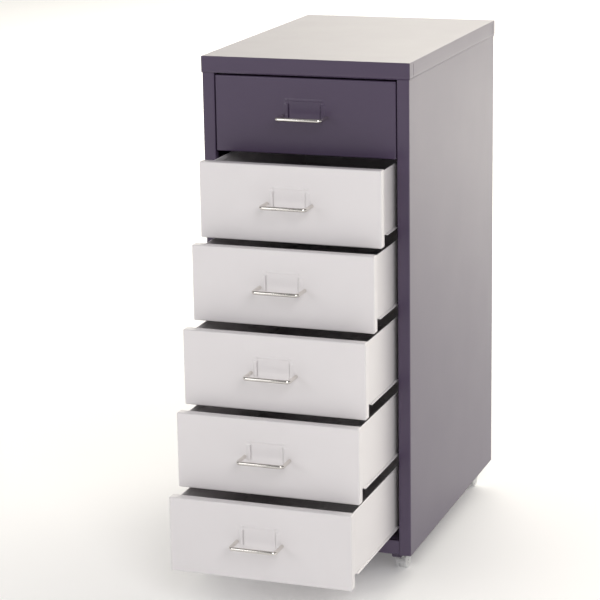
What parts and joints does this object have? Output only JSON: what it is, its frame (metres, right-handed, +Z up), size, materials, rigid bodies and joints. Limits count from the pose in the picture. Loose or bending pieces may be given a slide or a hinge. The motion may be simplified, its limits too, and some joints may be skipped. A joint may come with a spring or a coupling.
{
  "type": "tall chest of drawers",
  "caption": "Narrow sheet-steel chest of sliding drawers with bow handles, its drawers standing open in a staircase, on small swivelling twin-wheel castors.",
  "frame": {"origin": "on the floor, under the middle of the overall box with the drawers at rest, open in a staircase", "axes": "+Z up, -Y towards the drawer fronts, +X to the right of someone facing the drawers"},
  "size_m": [0.28, 0.6364, 0.688],
  "materials": {
    "body_paint": "gloss powder coat, dark purple-grey",
    "white_paint": "gloss powder coat, white",
    "bright_nickel": "bright nickel plate",
    "zinc_steel": "zinc-plated steel",
    "grey_plastic": "translucent light grey nylon"
  },
  "bodies": {
    "cabinet": {"top_panel": "body_paint", "left_side_panel": "body_paint", "right_side_panel": "body_paint", "back_panel": "body_paint", "bottom_panel": "body_paint", "left_runner_1": "body_paint", "right_runner_1": "body_paint", "left_runner_2": "body_paint", "right_runner_2": "body_paint", "left_runner_3": "body_paint", "right_runner_3": "body_paint", "left_runner_4": "body_paint", "right_runner_4": "body_paint", "left_runner_5": "body_paint", "right_runner_5": "body_paint", "left_runner_6": "body_paint", "right_runner_6": "body_paint", "front_left_castor_mount": "body_paint", "front_right_castor_mount": "body_paint", "rear_left_castor_mount": "body_paint", "rear_right_castor_mount": "body_paint"},
    "drawer_1": {"drawer_1_front": "body_paint", "drawer_1_tub": "body_paint", "drawer_1_handle": "bright_nickel"},
    "drawer_2": {"drawer_2_front": "white_paint", "drawer_2_tub": "white_paint", "drawer_2_handle": "bright_nickel"},
    "drawer_3": {"drawer_3_front": "white_paint", "drawer_3_tub": "white_paint", "drawer_3_handle": "bright_nickel"},
    "drawer_4": {"drawer_4_front": "white_paint", "drawer_4_tub": "white_paint", "drawer_4_handle": "bright_nickel"},
    "drawer_5": {"drawer_5_front": "white_paint", "drawer_5_tub": "white_paint", "drawer_5_handle": "bright_nickel"},
    "drawer_6": {"drawer_6_front": "white_paint", "drawer_6_tub": "white_paint", "drawer_6_handle": "bright_nickel"},
    "front_left_castor": {"front_left_castor_stem": "zinc_steel", "front_left_castor_hood": "grey_plastic", "front_left_castor_axle": "zinc_steel"},
    "front_left_castor_left_wheel": {"front_left_castor_wheel_left": "grey_plastic"},
    "front_left_castor_right_wheel": {"front_left_castor_wheel_right": "grey_plastic"},
    "front_right_castor": {"front_right_castor_stem": "zinc_steel", "front_right_castor_hood": "grey_plastic", "front_right_castor_axle": "zinc_steel"},
    "front_right_castor_left_wheel": {"front_right_castor_wheel_left": "grey_plastic"},
    "front_right_castor_right_wheel": {"front_right_castor_wheel_right": "grey_plastic"},
    "rear_left_castor": {"rear_left_castor_stem": "zinc_steel", "rear_left_castor_hood": "grey_plastic", "rear_left_castor_axle": "zinc_steel"},
    "rear_left_castor_left_wheel": {"rear_left_castor_wheel_left": "grey_plastic"},
    "rear_left_castor_right_wheel": {"rear_left_castor_wheel_right": "grey_plastic"},
    "rear_right_castor": {"rear_right_castor_stem": "zinc_steel", "rear_right_castor_hood": "grey_plastic", "rear_right_castor_axle": "zinc_steel"},
    "rear_right_castor_left_wheel": {"rear_right_castor_wheel_left": "grey_plastic"},
    "rear_right_castor_right_wheel": {"rear_right_castor_wheel_right": "grey_plastic"}
  },
  "joints": [
    {"name": "drawer_1_slide", "type": "slide", "parent": "cabinet", "child": "drawer_1", "axis": [0, -1, 0], "range_m": [0, 0.29]},
    {"name": "drawer_2_slide", "type": "slide", "parent": "cabinet", "child": "drawer_2", "axis": [0, -1, 0], "range_m": [-0.062, 0.228]},
    {"name": "drawer_3_slide", "type": "slide", "parent": "cabinet", "child": "drawer_3", "axis": [0, -1, 0], "range_m": [-0.094, 0.196]},
    {"name": "drawer_4_slide", "type": "slide", "parent": "cabinet", "child": "drawer_4", "axis": [0, -1, 0], "range_m": [-0.131, 0.159]},
    {"name": "drawer_5_slide", "type": "slide", "parent": "cabinet", "child": "drawer_5", "axis": [0, -1, 0], "range_m": [-0.16, 0.13]},
    {"name": "drawer_6_slide", "type": "slide", "parent": "cabinet", "child": "drawer_6", "axis": [0, -1, 0], "range_m": [-0.193, 0.097]},
    {"name": "front_left_castor_swivel", "type": "hinge", "parent": "cabinet", "child": "front_left_castor", "pos_m": [-0.1145, -0.0582, 0.02], "axis": [0, 0, 1], "continuous": true},
    {"name": "front_left_castor_left_wheel_spin", "type": "hinge", "parent": "front_left_castor", "child": "front_left_castor_left_wheel", "pos_m": [-0.1145, -0.0502, 0.0105], "axis": [1, 0, 0], "continuous": true},
    {"name": "front_left_castor_right_wheel_spin", "type": "hinge", "parent": "front_left_castor", "child": "front_left_castor_right_wheel", "pos_m": [-0.1145, -0.0502, 0.0105], "axis": [1, 0, 0], "continuous": true},
    {"name": "front_right_castor_swivel", "type": "hinge", "parent": "cabinet", "child": "front_right_castor", "pos_m": [0.1145, -0.0582, 0.02], "axis": [0, 0, 1], "continuous": true},
    {"name": "front_right_castor_left_wheel_spin", "type": "hinge", "parent": "front_right_castor", "child": "front_right_castor_left_wheel", "pos_m": [0.1145, -0.0502, 0.0105], "axis": [1, 0, 0], "continuous": true},
    {"name": "front_right_castor_right_wheel_spin", "type": "hinge", "parent": "front_right_castor", "child": "front_right_castor_right_wheel", "pos_m": [0.1145, -0.0502, 0.0105], "axis": [1, 0, 0], "continuous": true},
    {"name": "rear_left_castor_swivel", "type": "hinge", "parent": "cabinet", "child": "rear_left_castor", "pos_m": [-0.1145, 0.2838, 0.02], "axis": [0, 0, 1], "continuous": true},
    {"name": "rear_left_castor_left_wheel_spin", "type": "hinge", "parent": "rear_left_castor", "child": "rear_left_castor_left_wheel", "pos_m": [-0.1145, 0.2918, 0.0105], "axis": [1, 0, 0], "continuous": true},
    {"name": "rear_left_castor_right_wheel_spin", "type": "hinge", "parent": "rear_left_castor", "child": "rear_left_castor_right_wheel", "pos_m": [-0.1145, 0.2918, 0.0105], "axis": [1, 0, 0], "continuous": true},
    {"name": "rear_right_castor_swivel", "type": "hinge", "parent": "cabinet", "child": "rear_right_castor", "pos_m": [0.1145, 0.2838, 0.02], "axis": [0, 0, 1], "continuous": true},
    {"name": "rear_right_castor_left_wheel_spin", "type": "hinge", "parent": "rear_right_castor", "child": "rear_right_castor_left_wheel", "pos_m": [0.1145, 0.2918, 0.0105], "axis": [1, 0, 0], "continuous": true},
    {"name": "rear_right_castor_right_wheel_spin", "type": "hinge", "parent": "rear_right_castor", "child": "rear_right_castor_right_wheel", "pos_m": [0.1145, 0.2918, 0.0105], "axis": [1, 0, 0], "continuous": true}
  ]
}
